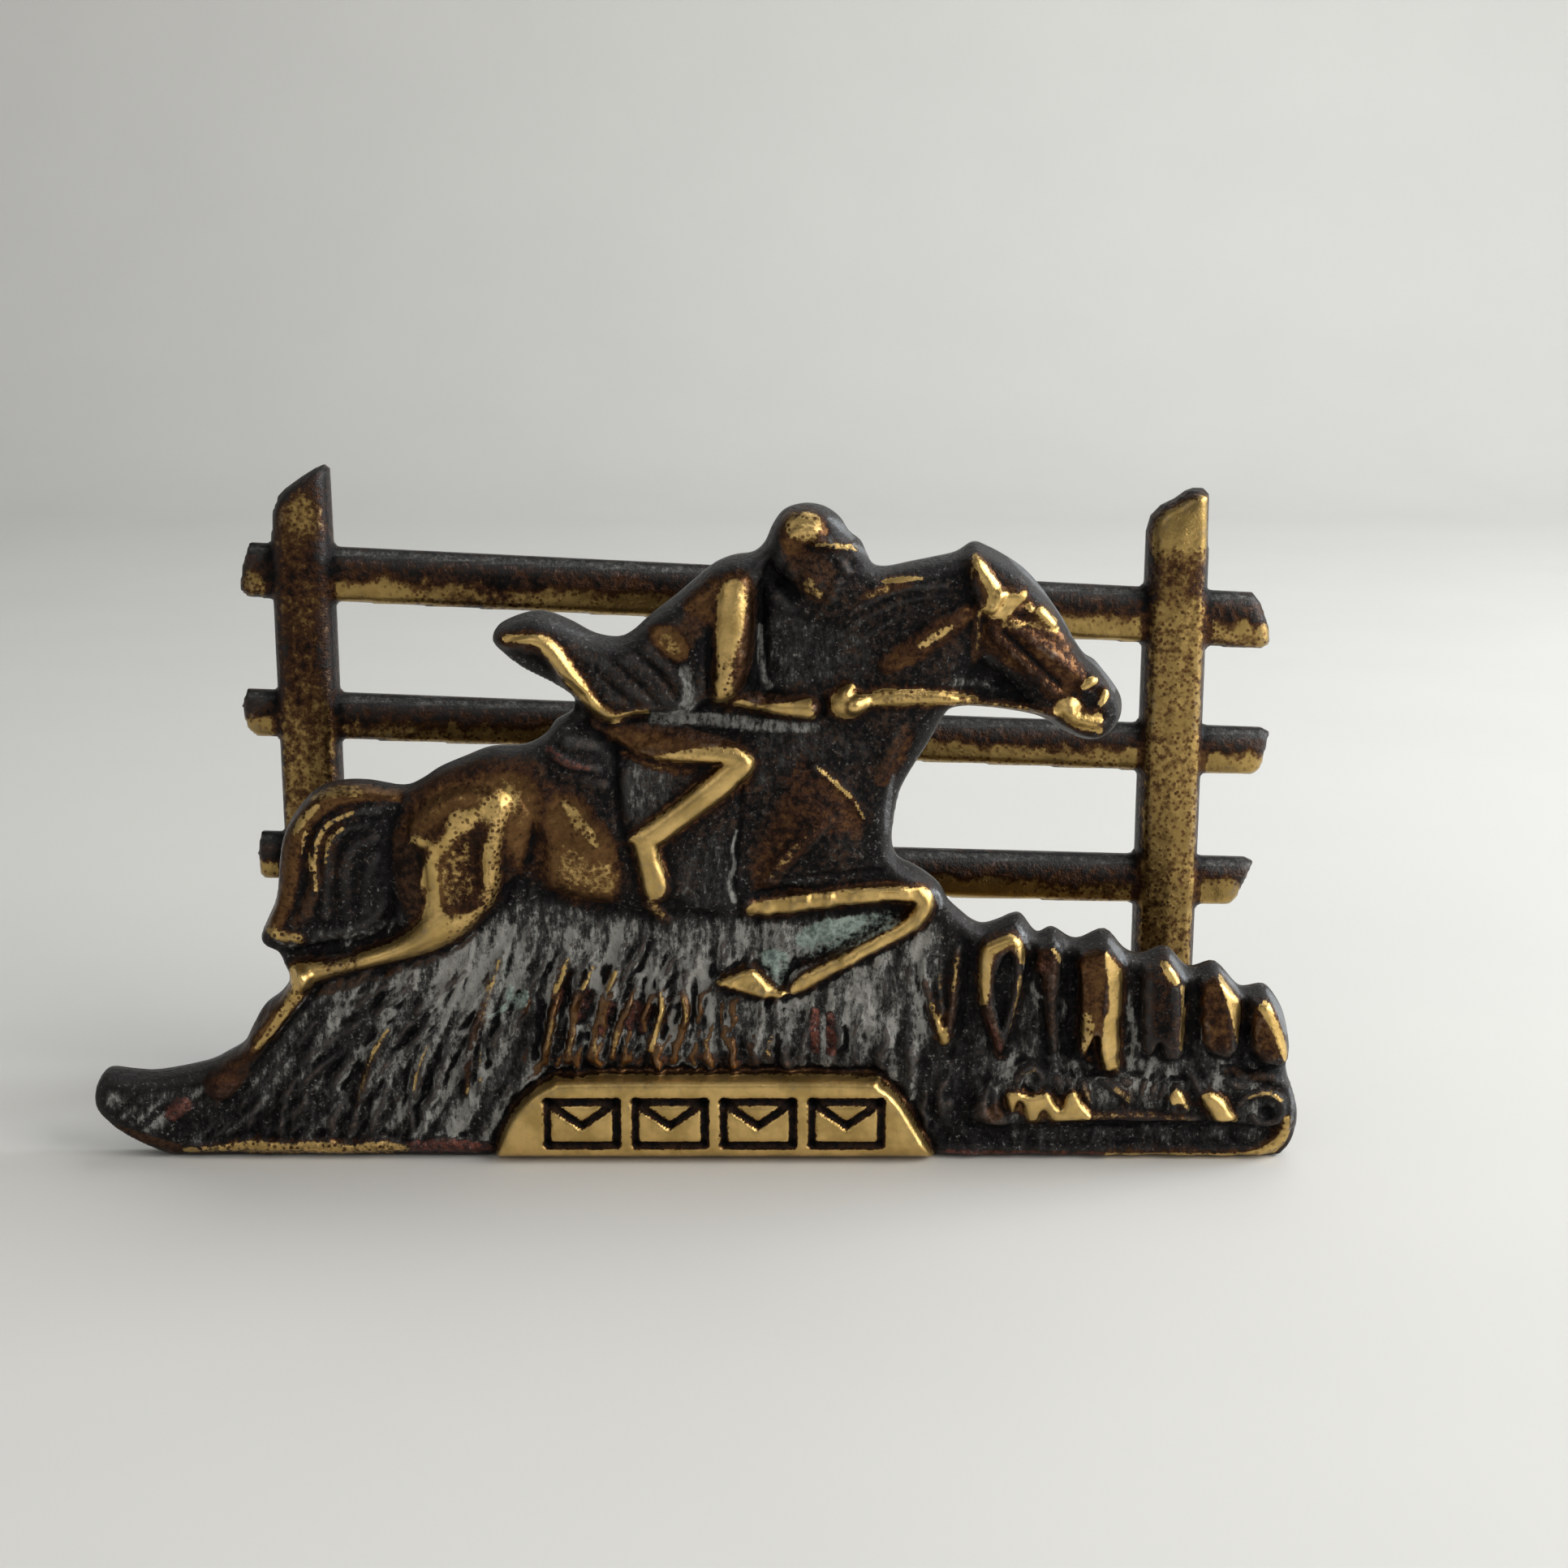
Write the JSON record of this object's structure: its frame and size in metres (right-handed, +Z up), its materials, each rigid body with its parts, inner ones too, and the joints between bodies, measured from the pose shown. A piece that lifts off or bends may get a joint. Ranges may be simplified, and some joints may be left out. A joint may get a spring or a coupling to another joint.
{
  "type": "letter rack",
  "caption": "Cast brass letter rack: a relief panel of a leaping horse and rider in front of a post-and-rail fence, on a flat base that holds letters between them.",
  "frame": {"origin": "centre of the bounding box on the table plane, under the base plate", "axes": "+X to the viewer's right along the rack, +Y from the relief panel to the fence, +Z up; the relief faces -Y"},
  "size_m": [0.1666, 0.0418, 0.0922],
  "materials": {
    "panel_brass": "antique patina, polished on the high relief",
    "fence_brass": "aged, speckled brown patina",
    "plain_brass": "dull, lightly tarnished",
    "screw_brass": "satin"
  },
  "bodies": {
    "root": {"front_panel": "panel_brass", "left_bracket": "plain_brass", "right_bracket": "plain_brass", "base_plate": "plain_brass", "back_fence": "fence_brass", "panel_screws": "screw_brass", "fence_screws": "screw_brass"}
  },
  "joints": []
}
